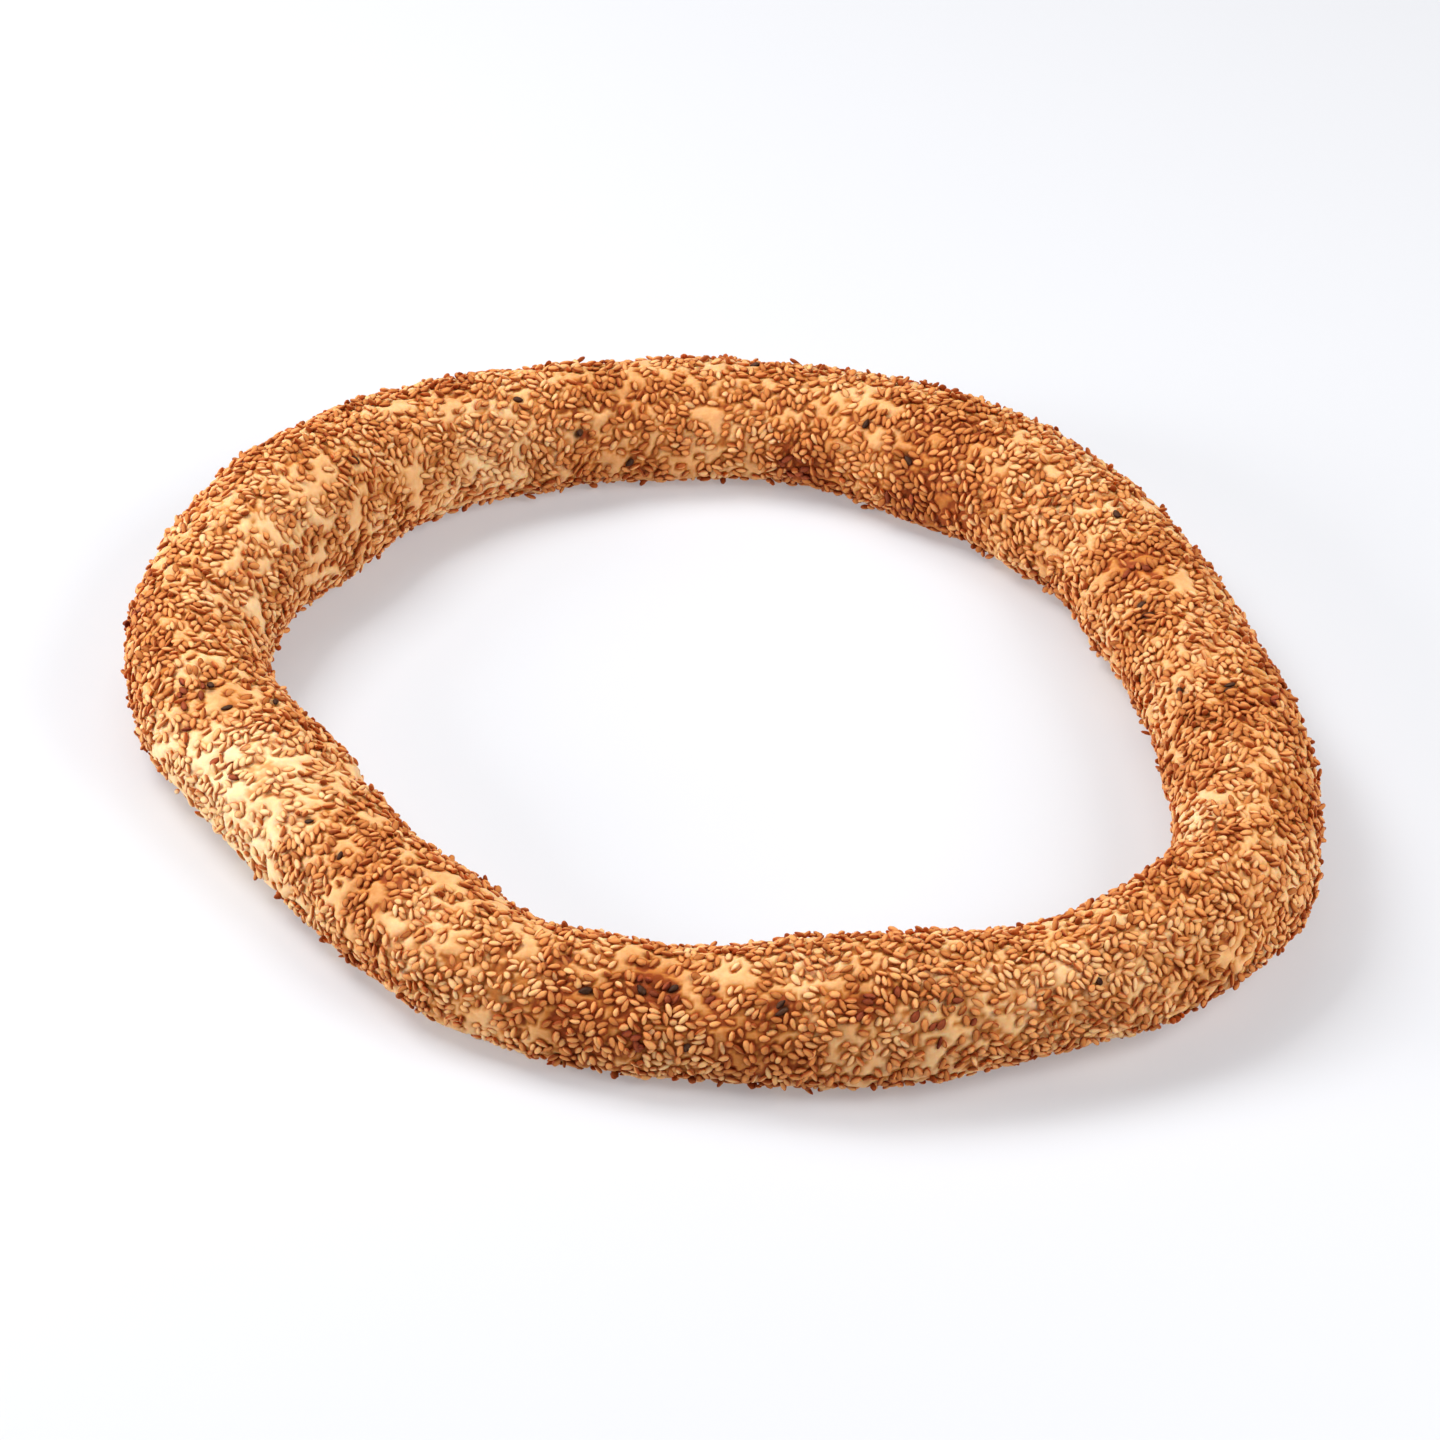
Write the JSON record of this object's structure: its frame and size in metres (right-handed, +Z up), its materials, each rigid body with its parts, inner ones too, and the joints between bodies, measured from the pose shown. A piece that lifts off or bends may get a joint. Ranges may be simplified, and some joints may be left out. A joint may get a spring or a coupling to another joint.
{
  "type": "sesame bread ring",
  "caption": "Plain baked bread ring, one hand-rolled strand closed into a slightly warped ring and coated all over in sesame seeds.",
  "frame": {"origin": "centre of the ring's bounding box, on the plane that the bread rests on", "axes": "+Z up, at right angles to the plane of the ring; +Y towards the back; +X to the right, where the strand stands clear of the table"},
  "size_m": [0.2576, 0.2542, 0.0325],
  "materials": {
    "crust": "baked golden-brown crust, dull to softly satin",
    "sesame": "toasted sesame, satin"
  },
  "bodies": {
    "root": {"bread_ring": "crust"}
  },
  "joints": []
}
